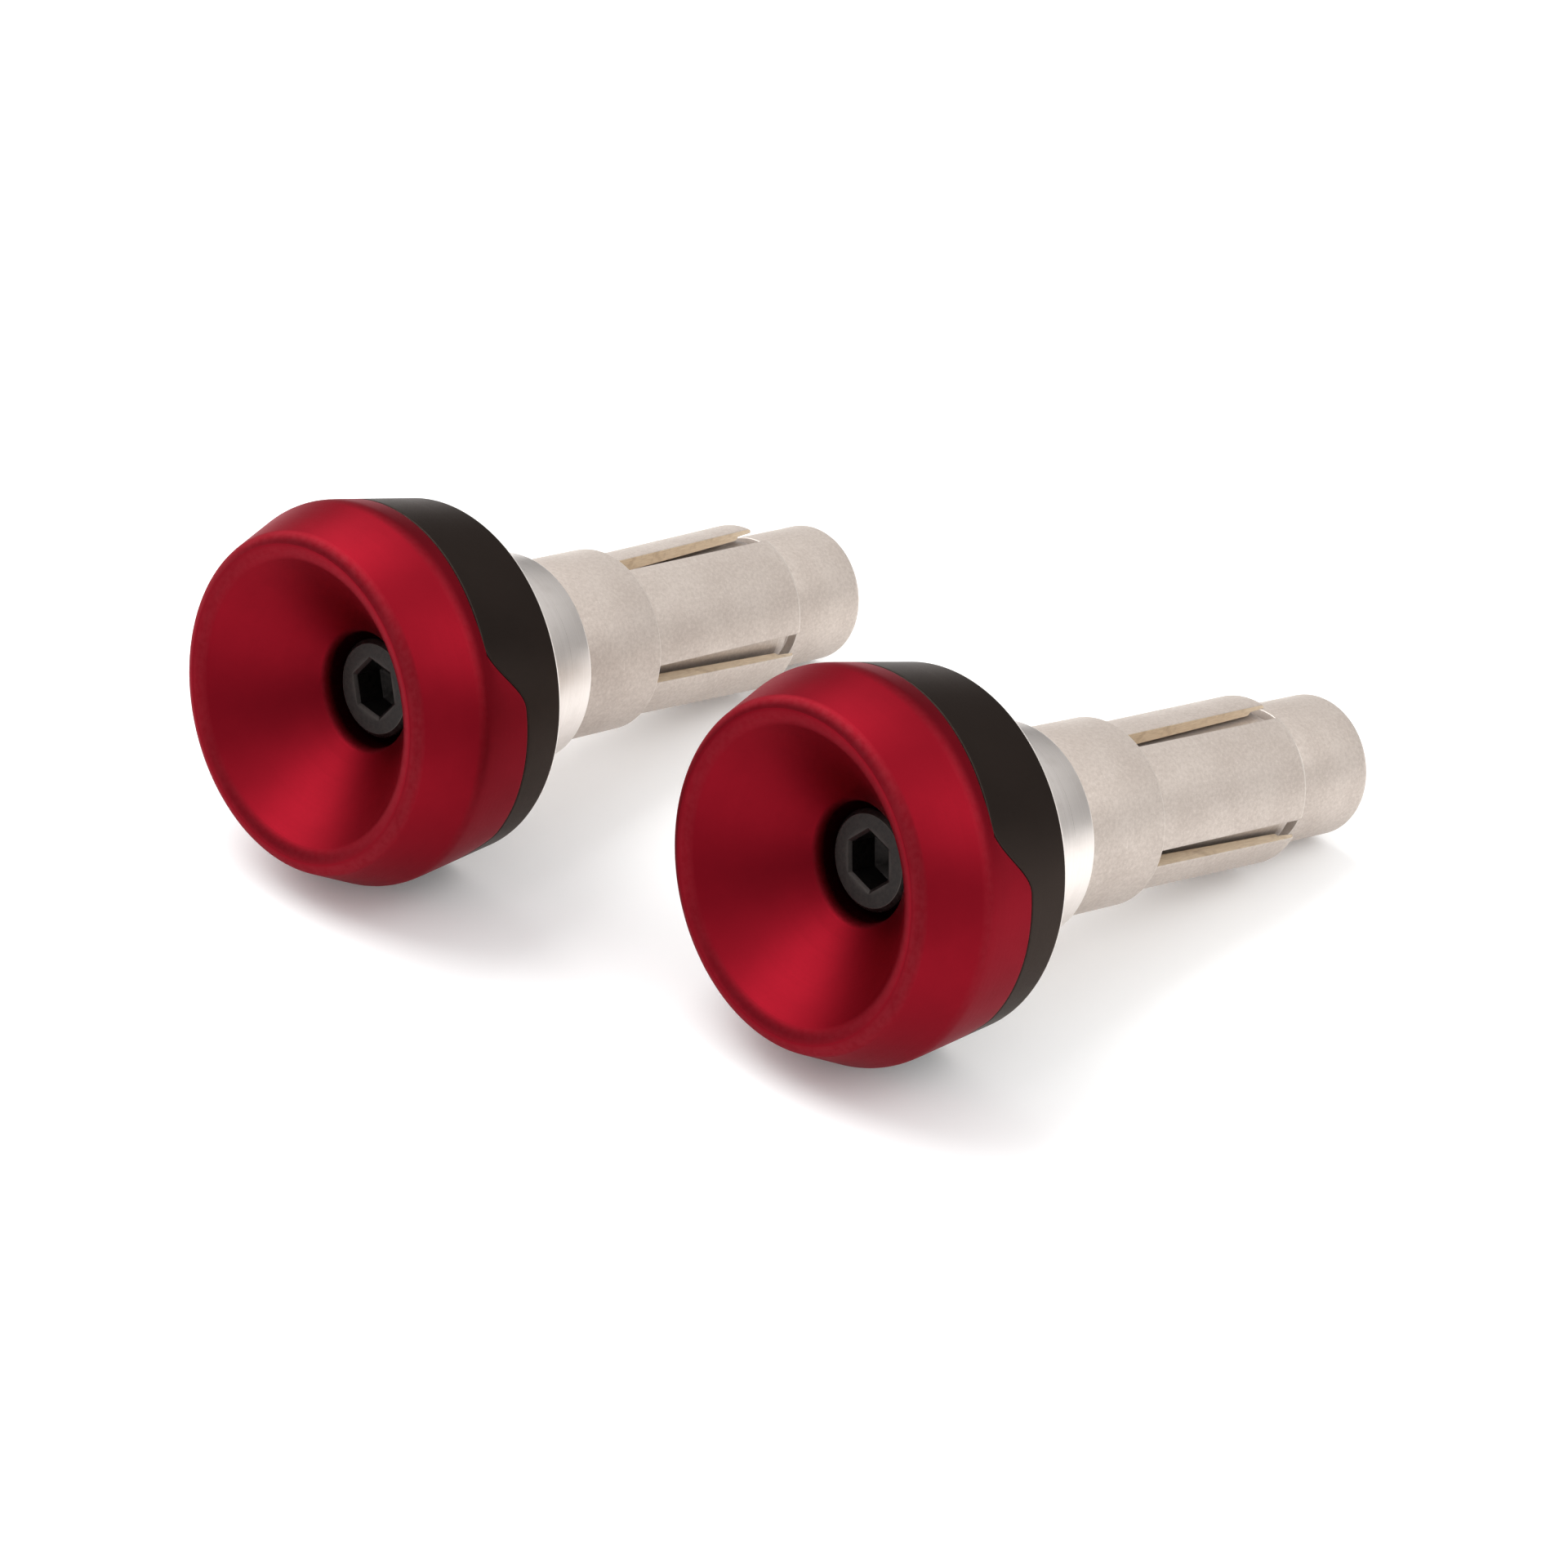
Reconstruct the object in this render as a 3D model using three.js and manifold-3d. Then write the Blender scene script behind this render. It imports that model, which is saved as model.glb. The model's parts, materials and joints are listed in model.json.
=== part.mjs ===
// A pair of expanding bar end weights, lying side by side on a flat surface.
// Each one is a dished cap on a base ring, a collar, and a slotted sleeve that goes inside a bar.
// A socket screw through all of it pulls a wedge nut into the sleeve and spreads its four fingers.
// Millimetres, +Z up. Each bar end is drawn along its own axis: station 0 is the rear edge of the
// base ring, and stations grow towards the tail. Angles run from straight up towards +X.
import * as THREE from "three";
import { mergeVertices } from "three/addons/utils/BufferGeometryUtils.js";
import Module from "manifold-3d";

const wasm = await Module();
wasm.setup();

// ---- driving dimensions ------------------------------------------------------------------
const GAP = 0.3; // clearance between neighbouring pieces
const HEAD_STEPS = 48; // flats round the cap and the base ring
const TUBE_STEPS = 36; // flats round the collar, the sleeve and the nut
const SCREW_STEPS = 24; // flats round the screw
const WAVE_STEPS = 96; // flats round the wavy joint line

const HEAD = { rearRadius: 18.0, edgeRadius: 19.45, edgeStation: -11.4, rearEdge: 0.3 }; // tapered skirt
const LIP = { front: -18.5, crestRadius: 15.9, innerRadius: 14.4 }; // rounded front lip of the cap
const DISH = { bottomRadius: 7.4, bottomStation: -10.9 }; // narrow end of the conical dish
const COUNTERBORE = { radius: 5.9, floor: -2.3 }; // pocket that the screw's head sits in
const CAP_CORE = { radius: 15.2, rear: -3.9 }; // body of the cap inside the base ring's wall
const CAP_HUB = { radius: 8.4, rear: -0.8 }; // boss of the cap that the screw clamps
const CLEARANCE_HOLE = 3.3; // radius of every hole the screw passes freely
const WEB_FRONT = -3.6; // front face of the base ring's web
const BASE_BOSS = { radius: 8.9, rear: 11.38 }; // boss of the base ring that carries the collar
const SPIGOT = { radius: 6.0, front: 9.2 }; // front end of the sleeve, centred in the base ring
const COLLAR = { radius: 10.87, rear: 11.38 };
const COLLAR_SEAT = { radius: COLLAR.radius + GAP, floor: -GAP }; // shallow seat in the base ring
const SHOULDER = { radius: 9.53, rear: 22.9 }; // the bar's end butts on its rear rim
const SLEEVE_BORE = { radius: 6.8, front: 18.0 };
const FINGER = { rootRadius: 8.55, tip: 44.95, innerTipRadius: 7.5, mouthStation: 42.8, mouthRadius: 8.05 };
const FINGER_HINGE_RADIUS = 7.7; // middle of a finger's wall, where it bends
const FINGER_SEAT = { radius: FINGER.rootRadius + GAP, floor: SHOULDER.rear - GAP }; // round the finger roots
const SLOT_WIDTH = 2.0;
const NUT = { radius: 7.4, rear: 56.5, edge: 1.1 }; // its tail, behind the fingers
const NUT_CONE = { front: 23.6, noseRadius: 6.3, rear: 42.4, radius: 7.2, seat: 43.4 }; // inside the fingers
const NUT_GROOVE = { front: 44.4, rear: 46.2, radius: 6.5, edge: 0.3 }; // parts the cone from the tail
const SCREW = { face: -8.48, headRadius: 5.0, underHead: -2.6, shankRadius: 2.95, tip: 52.6 };
const HEX_SOCKET = { acrossFlats: 5.0, depth: 3.4 };

// Wavy joint between cap and base ring: two tabs of the cap, half a turn apart.
const WAVE = {
  tabCentre: 100, // angle of one tab's middle, in degrees
  tabStation: -4.65, // joint line in the middle of a tab
  narrowStation: -9.1, // joint line halfway between two tabs
  lean: 0.029, // slope of both levels, mm per degree
  nearStep: 37, // angle from the tab's middle to its steep side
  farStep: 32, // angle from the tab's middle to its other side
  halfStep: 11, // half the angle that a step takes
};

// The two bar ends: where each lies, how it is turned, and how its slots and fingers stand.
const BAR_ENDS = [
  { side: "left", x: 0, y: 0, turn: 0, slotAngle: 4, hexAngle: 35.5, flare: 1.2 },
  { side: "right", x: 54.47, y: 15.11, turn: -4.58, slotAngle: 9.5, hexAngle: 42.5, flare: 0.5 },
];

// A bar end rests on the rear edge of its base ring and on the rear edge of its nut.
const REST_TAIL_STATION = NUT.rear - NUT.edge;
const REST_TILT = Math.atan2(skirtRadius(-HEAD.rearEdge) - NUT.radius, REST_TAIL_STATION + HEAD.rearEdge);
const REST_HEIGHT = REST_TAIL_STATION * Math.sin(REST_TILT) + NUT.radius * Math.cos(REST_TILT);

const MATERIALS = {
  redAnodised: { color: 0x8c1420, metalness: 0.8, roughness: 0.35 },
  blackAnodised: { color: 0x2e2824, metalness: 0.6, roughness: 0.45 },
  turnedAluminium: { color: 0xe0d8d0, metalness: 0.95, roughness: 0.25 },
  tumbledAluminium: { color: 0xbdb2aa, metalness: 0.85, roughness: 0.5 },
  blackOxide: { color: 0x1a1817, metalness: 0.6, roughness: 0.5 },
};

// ---- solids ------------------------------------------------------------------------------
const degrees = THREE.MathUtils.degToRad;

/** Turns a closed geometry into a solid that can be cut and joined. */
function toSolid(geometry) {
  const shape = geometry.clone();
  shape.deleteAttribute("normal");
  shape.deleteAttribute("uv");
  const merged = mergeVertices(shape, 1e-4);
  const corners = Array.from(merged.index.array);
  const kept = [];
  for (let i = 0; i < corners.length; i += 3) {
    const [a, b, c] = corners.slice(i, i + 3);
    if (a !== b && b !== c && c !== a) kept.push(a, b, c);
  }
  const vertProperties = new Float32Array(merged.attributes.position.array);
  return new wasm.Manifold(new wasm.Mesh({ numProp: 3, vertProperties, triVerts: new Uint32Array(kept) }));
}

/** Turns a solid back into a geometry. */
function toGeometry(solid) {
  const mesh = solid.getMesh();
  const geometry = new THREE.BufferGeometry();
  geometry.setAttribute("position", new THREE.BufferAttribute(new Float32Array(mesh.vertProperties), 3));
  geometry.setIndex(Array.from(mesh.triVerts));
  geometry.computeVertexNormals();
  return geometry;
}

/** A turned solid. The profile is a loop of [radius, station] pairs, outside first, front to rear. */
function turned(profile, steps) {
  const points = profile.map(([radius, station]) => new THREE.Vector2(radius, station));
  return toSolid(new THREE.LatheGeometry(points, steps));
}

/** Points of an arc in a profile, between two angles in degrees (0 is outward, 90 is rearward). */
function arc(centreRadius, centreStation, radius, from, to, steps) {
  const points = [];
  for (let i = 0; i <= steps; i += 1) {
    const angle = degrees(from + ((to - from) * i) / steps);
    points.push([centreRadius + radius * Math.cos(angle), centreStation + radius * Math.sin(angle)]);
  }
  return points;
}

/** Radius of the head's tapered skirt, shared by the cap and the base ring. */
function skirtRadius(station) {
  const share = station / HEAD.edgeStation;
  return HEAD.rearRadius + (HEAD.edgeRadius - HEAD.rearRadius) * share;
}

/** Station of the wavy joint at an angle round the axis, in degrees. */
function waveStation(angle) {
  const offset = THREE.MathUtils.euclideanModulo(WAVE.tabCentre - angle + 90, 180) - 90;
  const step = offset > 0 ? WAVE.nearStep : WAVE.farStep;
  const distance = Math.abs(offset);
  const onTab = 1 - THREE.MathUtils.smoothstep(distance, step - WAVE.halfStep, step + WAVE.halfStep);
  const tab = WAVE.tabStation - WAVE.lean * offset;
  const narrowOffset = THREE.MathUtils.euclideanModulo(offset, 180) - 90;
  const narrow = WAVE.narrowStation + WAVE.lean * narrowOffset;
  return THREE.MathUtils.lerp(narrow, tab, onTab);
}

/** A ring between the wavy joint line (moved by shift) and a plain end, used to cut along the joint. */
function waveRing(innerRadius, outerRadius, plainStation, shift) {
  const front = Math.min(plainStation, WAVE.narrowStation);
  const waveInFront = plainStation > WAVE.narrowStation;
  const rear = waveInFront ? plainStation : WAVE.narrowStation;
  const loop = [
    [outerRadius, front],
    [outerRadius, rear],
    [innerRadius, rear],
    [innerRadius, front],
    [outerRadius, front],
  ];
  const points = loop.map(([radius, station]) => new THREE.Vector2(radius, station));
  const geometry = new THREE.LatheGeometry(points, WAVE_STEPS);
  const position = geometry.attributes.position;
  const waveEnd = waveInFront ? front : rear;
  for (let i = 0; i < position.count; i += 1) {
    if (Math.abs(position.getY(i) - waveEnd) < GAP / 10) {
      const angle = THREE.MathUtils.radToDeg(Math.atan2(position.getX(i), position.getZ(i)));
      position.setY(i, waveStation(angle) + shift);
    }
  }
  return toSolid(geometry);
}

// ---- pieces of one bar end -----------------------------------------------------------------
const CUT_OUTER_RADIUS = 21; // outside every piece of the head

function cap() {
  const outside = [
    [17.05, -17.7],
    [17.45, -17.1],
    [19.1, -12.8],
    [19.42, -12.1],
    [HEAD.edgeRadius, HEAD.edgeStation],
    [skirtRadius(CAP_CORE.rear), CAP_CORE.rear],
  ];
  const inside = [
    [CAP_HUB.radius, CAP_CORE.rear],
    [CAP_HUB.radius, CAP_HUB.rear],
    [CLEARANCE_HOLE, CAP_HUB.rear],
    [CLEARANCE_HOLE, COUNTERBORE.floor],
    [COUNTERBORE.radius, COUNTERBORE.floor],
    [COUNTERBORE.radius, -9.9],
    [6.4, -10.55],
    [DISH.bottomRadius, DISH.bottomStation],
    [LIP.innerRadius - 0.3, -17.5],
    [LIP.innerRadius + 0.3, -18.1],
  ];
  const lip = [
    [LIP.crestRadius - 0.7, LIP.front + 0.08],
    [LIP.crestRadius, LIP.front],
    [16.5, LIP.front + 0.2],
  ];
  const blank = turned([...outside, ...inside, ...lip, outside[0]], HEAD_STEPS);
  return blank.subtract(waveRing(CAP_CORE.radius, CUT_OUTER_RADIUS, 2, 0));
}

function baseRing() {
  const wallInside = CAP_CORE.radius + GAP;
  const wallFront = -12;
  const blank = turned(
    [
      [skirtRadius(wallFront), wallFront],
      [skirtRadius(-HEAD.rearEdge), -HEAD.rearEdge],
      [HEAD.rearRadius - HEAD.rearEdge, 0],
      [COLLAR_SEAT.radius, 0],
      [COLLAR_SEAT.radius, COLLAR_SEAT.floor],
      [BASE_BOSS.radius, COLLAR_SEAT.floor],
      [BASE_BOSS.radius, BASE_BOSS.rear],
      [SPIGOT.radius + GAP, BASE_BOSS.rear],
      [SPIGOT.radius + GAP, SPIGOT.front - GAP],
      [CLEARANCE_HOLE, SPIGOT.front - GAP],
      [CLEARANCE_HOLE, CAP_HUB.rear + GAP],
      [CAP_HUB.radius + GAP, CAP_HUB.rear + GAP],
      [CAP_HUB.radius + GAP, WEB_FRONT],
      [wallInside, WEB_FRONT],
      [wallInside, wallFront],
      [skirtRadius(wallFront), wallFront],
    ],
    HEAD_STEPS,
  );
  return blank.subtract(waveRing(CAP_CORE.radius, CUT_OUTER_RADIUS, -14, GAP));
}

function collar() {
  const innerRadius = BASE_BOSS.radius + GAP;
  const edge = 0.25;
  return turned(
    [
      [COLLAR.radius, 0],
      [COLLAR.radius, COLLAR.rear - edge],
      [COLLAR.radius - edge, COLLAR.rear],
      [innerRadius, COLLAR.rear],
      [innerRadius, 0],
      [COLLAR.radius, 0],
    ],
    TUBE_STEPS,
  );
}

function sleeve() {
  const front = COLLAR.rear + GAP;
  const edge = 0.15;
  return turned(
    [
      [SPIGOT.radius, SPIGOT.front],
      [SPIGOT.radius, front],
      [SHOULDER.radius, front],
      [SHOULDER.radius, SHOULDER.rear - edge],
      [SHOULDER.radius - edge, SHOULDER.rear],
      [FINGER_SEAT.radius, SHOULDER.rear],
      [FINGER_SEAT.radius, FINGER_SEAT.floor],
      [SLEEVE_BORE.radius, FINGER_SEAT.floor],
      [SLEEVE_BORE.radius, SLEEVE_BORE.front],
      [CLEARANCE_HOLE, SLEEVE_BORE.front],
      [CLEARANCE_HOLE, SPIGOT.front],
      [SPIGOT.radius, SPIGOT.front],
    ],
    TUBE_STEPS,
  );
}

/** One finger of the sleeve, straight, with its middle straight up. */
function finger() {
  const root = SHOULDER.rear;
  const tipEdge = 0.7;
  const tube = turned(
    [
      [FINGER.rootRadius, root],
      [FINGER.rootRadius, FINGER.tip - tipEdge],
      [FINGER.rootRadius - tipEdge * 0.3, FINGER.tip - tipEdge * 0.3],
      [FINGER.mouthRadius - 0.1, FINGER.tip],
      [FINGER.mouthRadius - 0.25, FINGER.mouthStation + 0.6],
      [FINGER.innerTipRadius, FINGER.mouthStation],
      [SLEEVE_BORE.radius, root],
      [FINGER.rootRadius, root],
    ],
    TUBE_STEPS,
  );
  const reach = FINGER.rootRadius * 2;
  const length = FINGER.tip * 2;
  const quarter = new THREE.BoxGeometry(reach, length, reach);
  quarter.translate((reach + SLOT_WIDTH) / 2, FINGER.tip, (reach + SLOT_WIDTH) / 2);
  quarter.rotateY(degrees(-45));
  return tube.intersect(toSolid(quarter));
}

function wedgeNut() {
  const bore = SCREW.shankRadius + GAP;
  return turned(
    [
      [NUT_CONE.noseRadius, NUT_CONE.front],
      [NUT_CONE.radius, NUT_CONE.rear],
      [NUT.radius, NUT_CONE.seat],
      [NUT.radius, NUT_GROOVE.front],
      [NUT_GROOVE.radius, NUT_GROOVE.front + NUT_GROOVE.edge],
      [NUT_GROOVE.radius, NUT_GROOVE.rear - NUT_GROOVE.edge],
      [NUT.radius, NUT_GROOVE.rear],
      ...arc(NUT.radius - NUT.edge, NUT.rear - NUT.edge, NUT.edge, 0, 90, 4),
      [bore + 0.6, NUT.rear],
      [bore, NUT.rear - 0.6],
      [bore, NUT_CONE.front],
      [NUT_CONE.noseRadius, NUT_CONE.front],
    ],
    TUBE_STEPS,
  );
}

function clampScrew(hexAngle) {
  const edge = 0.42;
  const body = turned(
    [
      [0, SCREW.face],
      [SCREW.headRadius - edge, SCREW.face],
      [SCREW.headRadius, SCREW.face + edge],
      [SCREW.headRadius, SCREW.underHead],
      [SCREW.shankRadius, SCREW.underHead],
      [SCREW.shankRadius, SCREW.tip - edge],
      [SCREW.shankRadius - edge, SCREW.tip],
      [0, SCREW.tip],
    ],
    SCREW_STEPS,
  );
  const cornerRadius = HEX_SOCKET.acrossFlats / Math.sqrt(3);
  const socket = new THREE.CylinderGeometry(cornerRadius, cornerRadius, HEX_SOCKET.depth * 2, 6);
  socket.rotateY(degrees(hexAngle));
  socket.translate(0, SCREW.face, 0);
  return body.subtract(toSolid(socket));
}

// ---- assembly ------------------------------------------------------------------------------
/** A named mesh of one solid. */
function piece(name, solid, finish) {
  const mesh = new THREE.Mesh(toGeometry(solid), new THREE.MeshStandardMaterial(MATERIALS[finish]));
  mesh.name = name;
  return mesh;
}

/** A finger turned to its place round the axis and bent outward at its root. */
function placedFinger(name, angle, flare) {
  const mesh = piece(name, finger(), "tumbledAluminium");
  mesh.position.set(0, -SHOULDER.rear, -FINGER_HINGE_RADIUS);
  const root = new THREE.Group();
  root.position.set(0, SHOULDER.rear, FINGER_HINGE_RADIUS);
  root.rotation.x = degrees(flare);
  root.add(mesh);
  const turnedGroup = new THREE.Group();
  turnedGroup.rotation.y = degrees(angle);
  turnedGroup.add(root);
  return turnedGroup;
}

/** One complete bar end, lying tilted on the surface. */
function barEnd({ side, x, y, turn, slotAngle, hexAngle, flare }) {
  const axis = new THREE.Group();
  axis.rotation.x = -REST_TILT;
  axis.add(piece(`${side}_cap`, cap(), "redAnodised"));
  axis.add(piece(`${side}_base_ring`, baseRing(), "blackAnodised"));
  axis.add(piece(`${side}_collar`, collar(), "turnedAluminium"));
  axis.add(piece(`${side}_sleeve`, sleeve(), "tumbledAluminium"));
  for (let i = 0; i < 4; i += 1) {
    axis.add(placedFinger(`${side}_finger_${i + 1}`, slotAngle + 45 + 90 * i, flare));
  }
  axis.add(piece(`${side}_wedge_nut`, wedgeNut(), "tumbledAluminium"));
  axis.add(piece(`${side}_clamp_screw`, clampScrew(hexAngle), "blackOxide"));
  const place = new THREE.Group();
  place.position.set(x, y, REST_HEIGHT);
  place.rotation.z = degrees(turn);
  place.add(axis);
  return place;
}

/** Both bar ends, with the origin on the surface under the middle of the pair. */
function barEndPair() {
  const pair = new THREE.Group();
  for (const end of BAR_ENDS) pair.add(barEnd(end));
  const box = new THREE.Box3().setFromObject(pair, true);
  const middle = box.getCenter(new THREE.Vector3());
  pair.position.set(-middle.x, -middle.y, -box.min.z);
  return pair;
}

export default barEndPair();
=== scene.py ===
"""The looks of a pair of expanding bar end weights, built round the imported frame.

Each bar end is drawn about its own axis, in millimetres. Its station is 0 at the rear edge of the
base ring and grows towards the tail. Its angles run from straight up towards the near side. In a
piece's own coordinates z is the station, x is up and y is the near side; a finger's are turned so
that x runs along its middle. The materials read them from the attribute OWN, because the finished
meshes lie in the frame of the whole model.
"""
import json
import math

import bmesh
import bpy
from mathutils import Matrix, Vector


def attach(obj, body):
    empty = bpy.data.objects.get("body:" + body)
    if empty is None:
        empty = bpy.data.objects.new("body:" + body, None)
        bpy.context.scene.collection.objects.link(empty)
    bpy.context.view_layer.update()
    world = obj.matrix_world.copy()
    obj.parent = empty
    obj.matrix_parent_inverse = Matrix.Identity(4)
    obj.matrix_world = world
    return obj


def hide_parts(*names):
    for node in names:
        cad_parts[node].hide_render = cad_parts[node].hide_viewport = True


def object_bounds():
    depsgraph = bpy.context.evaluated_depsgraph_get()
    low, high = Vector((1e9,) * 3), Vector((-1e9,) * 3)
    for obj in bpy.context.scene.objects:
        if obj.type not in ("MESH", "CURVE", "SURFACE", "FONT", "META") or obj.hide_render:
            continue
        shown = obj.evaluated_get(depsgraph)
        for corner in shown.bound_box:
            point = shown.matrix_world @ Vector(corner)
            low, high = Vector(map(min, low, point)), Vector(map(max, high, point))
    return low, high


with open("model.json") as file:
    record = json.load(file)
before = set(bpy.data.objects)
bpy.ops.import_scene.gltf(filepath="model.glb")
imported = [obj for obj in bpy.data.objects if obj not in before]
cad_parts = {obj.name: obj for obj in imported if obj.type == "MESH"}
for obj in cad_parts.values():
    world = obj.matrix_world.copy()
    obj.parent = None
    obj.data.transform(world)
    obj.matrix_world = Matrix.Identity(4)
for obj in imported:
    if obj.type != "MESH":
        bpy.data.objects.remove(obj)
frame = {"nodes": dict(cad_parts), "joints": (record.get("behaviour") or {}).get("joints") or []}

CAD_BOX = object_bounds()
MM = 0.001
OWN = "own_mm"
ROUND = "round"  # UV map whose u runs round the axis
WEAR_AND_HIGHLIGHT = "wear_and_highlight"  # attribute that is high along worn edges, where it also paints a pale edge highlight

# ---- shapes of the design that the frame's boxes don't give, in mm and degrees ---------------
JOIN = 0.05  # visible joint between pieces that touch on the real object
INSIDE = 0.04  # keeps the true rounds of the outermost edges inside the frame's box
SKIRT = {"rear_radius": 18.0, "edge_radius": 19.45, "edge_station": -11.4}
SKIRT_SHARES = (0.35, 0.7, 0.97)  # rows down the skirt, as shares of the way to the wavy joint
EDGE = {"out": 0.02, "forward": 0.35, "fillet": 3.2, "rear": 1.2}  # widest edge, from the skirt's
FLANK_SLOPE = 0.384  # how fast the cap's front flank widens, mm per mm
LIP_FILLET = {"dish": 2.4, "flank": 1.5}
DISH = {"radius": 7.4, "station": -10.9, "widening": 1.015}  # a cone, mm wider per mm forward
COUNTERBORE = {"radius": 5.9, "floor": -2.3, "mouth": -9.4, "mouth_fillet": 1.7}
CAP_CORE = {"radius": 15.2, "rear": -3.9}
CAP_HUB = {"radius": 8.4, "rear": -0.8}
CLEARANCE_HOLE = 3.3
WEB_FRONT = -3.6
RING_PLAIN = -0.6  # the ring's skirt is plain from here to its rear
RING_REAR_FILLET = 0.38
BRIGHT_EDGE = {"front": -0.34, "rear": 0.02, "inner_radius": 17.55}  # cut edge of the ring
BOSS_RADIUS = 8.9
SPIGOT_RADIUS = 6.0
SLEEVE_BORE = {"radius": 6.8, "front": 18.0}
SLOT_WIDTH = 2.0
FINGER_MOUTH = {"station": 42.8, "inner": 7.5, "radius": 8.0, "step": 0.08, "land": 0.03}
FINGER_WALL_BEVEL = 0.1
NUT_CONE = {"nose_radius": 6.3, "rear": 42.4, "radius": 7.2, "seat": 43.4}
NUT_GROOVE = {"front": 44.4, "rear": 46.2, "radius": 6.5, "edge": 0.3}
NUT_REAR_EDGE = 1.1
NUT_MOUTH = {"chamfer": 0.35, "depth": 0.5}  # where the thread opens at the nut's rear face
THREAD = {"pitch": 1.0, "major": 2.95, "minor": 2.42, "front": 32.0, "run_out": 0.4}
THREAD_FLAT = 0.1  # width of the flats on crest and root, as a share of the pitch
THREAD_SHORT = {"nut": 0.8, "screw": 0.6}  # how far the thread stops short of the rear end
SCREW_TIP_RADIUS = 2.32
NUT_THREAD_PLAY = {"outer": 0.35, "inner": 0.06}  # how far the nut's thread stands off the screw's
UNDER_HEAD = -2.6
HEAD_CHAMFER = 0.42  # of the screw's head
HEX_SOCKET = {"across_flats": 5.0, "depth": 3.4, "bevel": 0.3}
HEX_FLOOR = {"drill_tip": 0.7, "inset": 0.12, "rise": 0.1}
HEX_MOUTH = {"drop": 0.02, "margin": 0.06, "land": 0.1}  # ring round the bevelled corners
HEX_ANGLE = {"left": 35.5, "right": 42.5}  # of one corner
JOINT_EDGE = 0.16  # rounding of both sides of the wavy joint
WAVE = {
    "tab_centre": 100.0,
    "tab_station": -4.65,
    "narrow_station": -9.1,
    "lean": 0.029,
    "near_step": 37.0,
    "far_step": 32.0,
    "half_step": 11.0,
}

HEAD_STEPS = 240  # steps round the axis
TUBE_STEPS = 144
SCREW_STEPS = 72
FINGER_COLUMNS = 36
ARC_STEPS = 6  # steps of a 1 mm fillet, for each radian
WORN_AND_HIGHLIT_FILLET = 0.35  # the largest fillet whose wear and painted edge highlight are full
WAVE_EDGE_STEPS = 5
# wear and painted edge highlight along the wavy joint's edges
WAVE_EDGE_WEAR_AND_HIGHLIGHT = 0.3
THREAD_STEPS = 8  # rows in a pitch
FLOOR_HALF = 12.0  # half the floor's side, in metres


# ---- reading the frame -------------------------------------------------------------------------
def axis_of(side):
    """The bar end's own coordinates as a matrix to the model's frame, from its screw's joint."""
    joint = next(j for j in frame["joints"] if j["name"] == f"{side}_screw_turn")
    tail = Vector(joint["axis"]).normalized()
    near = tail.cross(Vector((0, 0, 1))).normalized()
    up = near.cross(tail)
    turn = Matrix((up, near, tail)).transposed().to_4x4()
    return Matrix.Translation(Vector(joint["pos_m"])) @ turn


def own_points(node, matrix):
    """A CAD node's corners in a piece's own coordinates, in mm."""
    back = matrix.inverted()
    return [(back @ v.co) / MM for v in frame["nodes"][node].data.vertices]


def reach(node, matrix):
    """Largest radius, and first and last station, of a CAD node about its axis."""
    points = own_points(node, matrix)
    stations = [p.z for p in points]
    return {
        "radius": max(math.hypot(p.x, p.y) for p in points),
        "front": min(stations),
        "rear": max(stations),
    }


def finger_place(node, joint_name, matrix):
    """Where a finger's own coordinates sit, with its lean, and its sizes when it stands straight."""
    joint = next(j for j in frame["joints"] if j["name"] == joint_name)
    hinge = (matrix.inverted() @ Vector(joint["pos_m"])) / MM
    turned_to = matrix @ Matrix.Rotation(math.atan2(hinge.y, hinge.x), 4, "Z")
    points = own_points(node, turned_to)
    middle = (min(p.z for p in points) + max(p.z for p in points)) / 2
    root = max((p for p in points if p.z < middle), key=lambda p: p.x)
    tip = max((p for p in points if p.z > middle), key=lambda p: p.x)
    lean = math.atan2(tip.x - root.x, tip.z - root.z)
    arm = Vector((math.hypot(hinge.x, hinge.y), 0, hinge.z)) * MM
    bend = Matrix.Translation(arm) @ Matrix.Rotation(lean, 4, "Y") @ Matrix.Translation(-arm)
    place = turned_to @ bend
    return place, reach(node, place)


# ---- profiles ----------------------------------------------------------------------------------
def rounded(corners, closed=False):
    """Profile points (radius, station, wear and painted highlight) through corners (radius, station,
    fillet).

    A corner with a fillet becomes an arc, whose wear and painted edge highlight peak in the middle of a
    small one.
    """
    points = []
    last = len(corners) - 1
    for i, (radius, station, fillet) in enumerate(corners):
        here = Vector((radius, station))
        if fillet == 0 or (not closed and i in (0, last)):
            points.append((radius, station, 0.0))
            continue
        before = (Vector(corners[i - 1][:2]) - here).normalized()
        after = (Vector(corners[(i + 1) % len(corners)][:2]) - here).normalized()
        half = before.angle(after) / 2
        centre = here + (before + after).normalized() * (fillet / math.sin(half))
        first = here + before * (fillet / math.tan(half)) - centre
        final = here + after * (fillet / math.tan(half)) - centre
        sweep = math.atan2(first.cross(final), first.dot(final))
        steps = max(4, round(abs(sweep) * math.sqrt(fillet) * ARC_STEPS))
        start = math.atan2(first.y, first.x)
        for k in range(steps + 1):
            spoke = start + sweep * k / steps
            worn_and_highlit = math.sin(math.pi * k / steps) * min(1.0, WORN_AND_HIGHLIT_FILLET / fillet)
            across = fillet * math.cos(spoke)
            along = fillet * math.sin(spoke)
            points.append((centre.x + across, centre.y + along, worn_and_highlit))
    return points


def fixed(points):
    """Profile points as rows that are the same all the way round."""
    return [lambda angle, point=point: point for point in points]


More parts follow.
